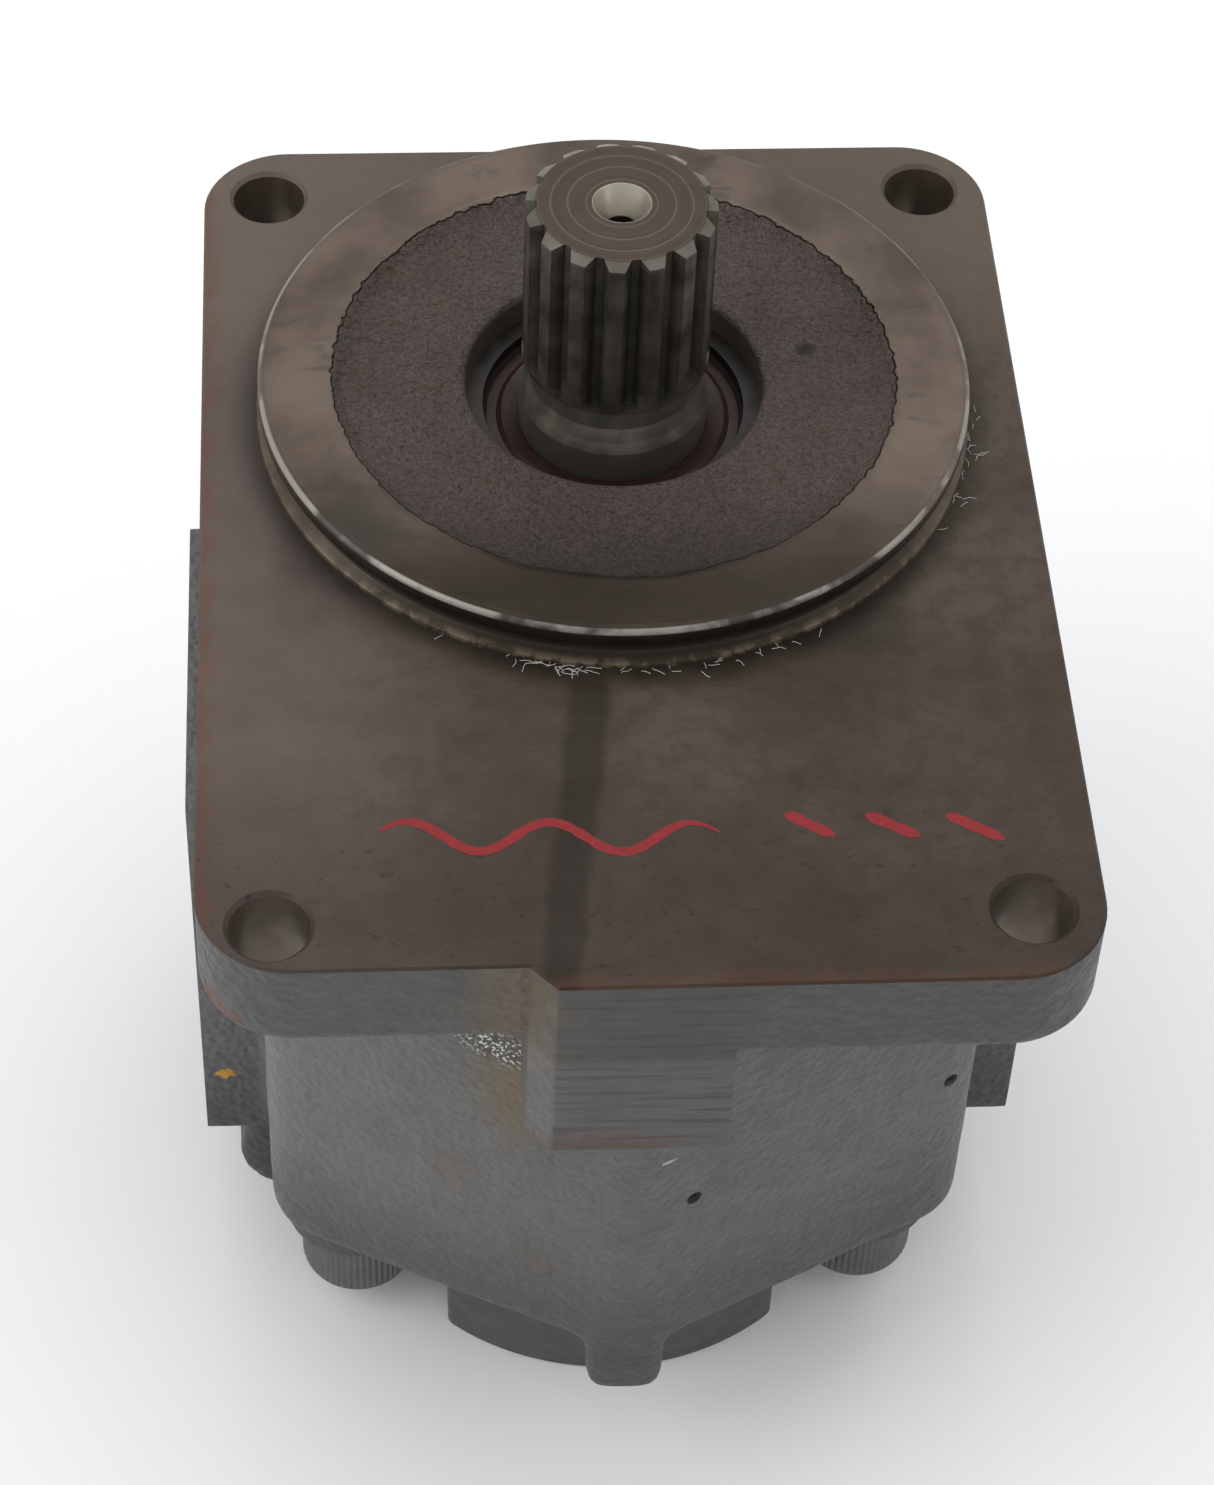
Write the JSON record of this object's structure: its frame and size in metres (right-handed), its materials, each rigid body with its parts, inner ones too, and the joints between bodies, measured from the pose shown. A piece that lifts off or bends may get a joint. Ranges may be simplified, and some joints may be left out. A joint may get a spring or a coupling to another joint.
{
  "type": "hydraulic gear motor",
  "caption": "External gear hydraulic motor: rectangular mounting flange with offset round pilot, splined shaft, prowed cast gear body and side ports.",
  "frame": {"origin": "where the drive shaft's axis crosses the flange's mounting face", "axes": "+Z out along the shaft, +X to one port, -Y towards the idler gear"},
  "size_m": [0.128, 0.1672, 0.1767],
  "materials": {
    "grey_paint": "hammered grey paint over cast iron, worn at the edges",
    "machined_cast_iron": "milled iron face, oily and tarnished brown, grey paint on its sides",
    "shaft_steel": "hardened steel, satin with tool marks",
    "dark_steel": "dark oiled steel",
    "black_steel": "black oxide screws with knurled heads",
    "bright_steel": "ground steel",
    "aluminium_block": "machined aluminium",
    "bronze_liner": "bronze bearing liner",
    "black_rubber": "nitrile rubber",
    "seal_rubber": "dark red-brown seal rubber, oily",
    "white_plastic": "anti-extrusion plastic"
  },
  "bodies": {
    "casing": {"front_flange": "machined_cast_iron", "gear_body": "grey_paint", "rear_cap": "dark_steel", "front_bushing_block": "aluminium_block", "rear_bushing_block": "aluminium_block", "drive_front_liner": "bronze_liner", "drive_rear_liner": "bronze_liner", "idler_front_liner": "bronze_liner", "idler_rear_liner": "bronze_liner", "front_pressure_seal": "black_rubber", "rear_pressure_seal": "black_rubber", "front_backup_rings": "white_plastic", "rear_backup_rings": "white_plastic", "body_seal": "black_rubber", "cap_seal": "black_rubber", "shaft_seal": "seal_rubber", "shaft_seal_case": "bright_steel", "garter_spring": "bright_steel", "retaining_ring": "dark_steel", "dowel_pins": "bright_steel", "bolt_washers": "black_steel", "body_bolts": "black_steel", "cap_screws": "black_steel"},
    "drive_gear": {"drive_gear_shaft": "shaft_steel"},
    "idler_gear": {"idler_gear_shaft": "shaft_steel"}
  },
  "joints": [
    {"name": "drive_spin", "type": "hinge", "parent": "casing", "child": "drive_gear", "pos_m": [0, 0, -0.0685], "axis": [0, 0, 1], "continuous": true},
    {"name": "idler_spin", "type": "hinge", "parent": "casing", "child": "idler_gear", "pos_m": [0, -0.048, -0.0685], "axis": [0, 0, 1], "continuous": true}
  ],
  "couplings": [
    {"joint": "idler_spin", "follows": "drive_spin", "ratio": -1}
  ]
}
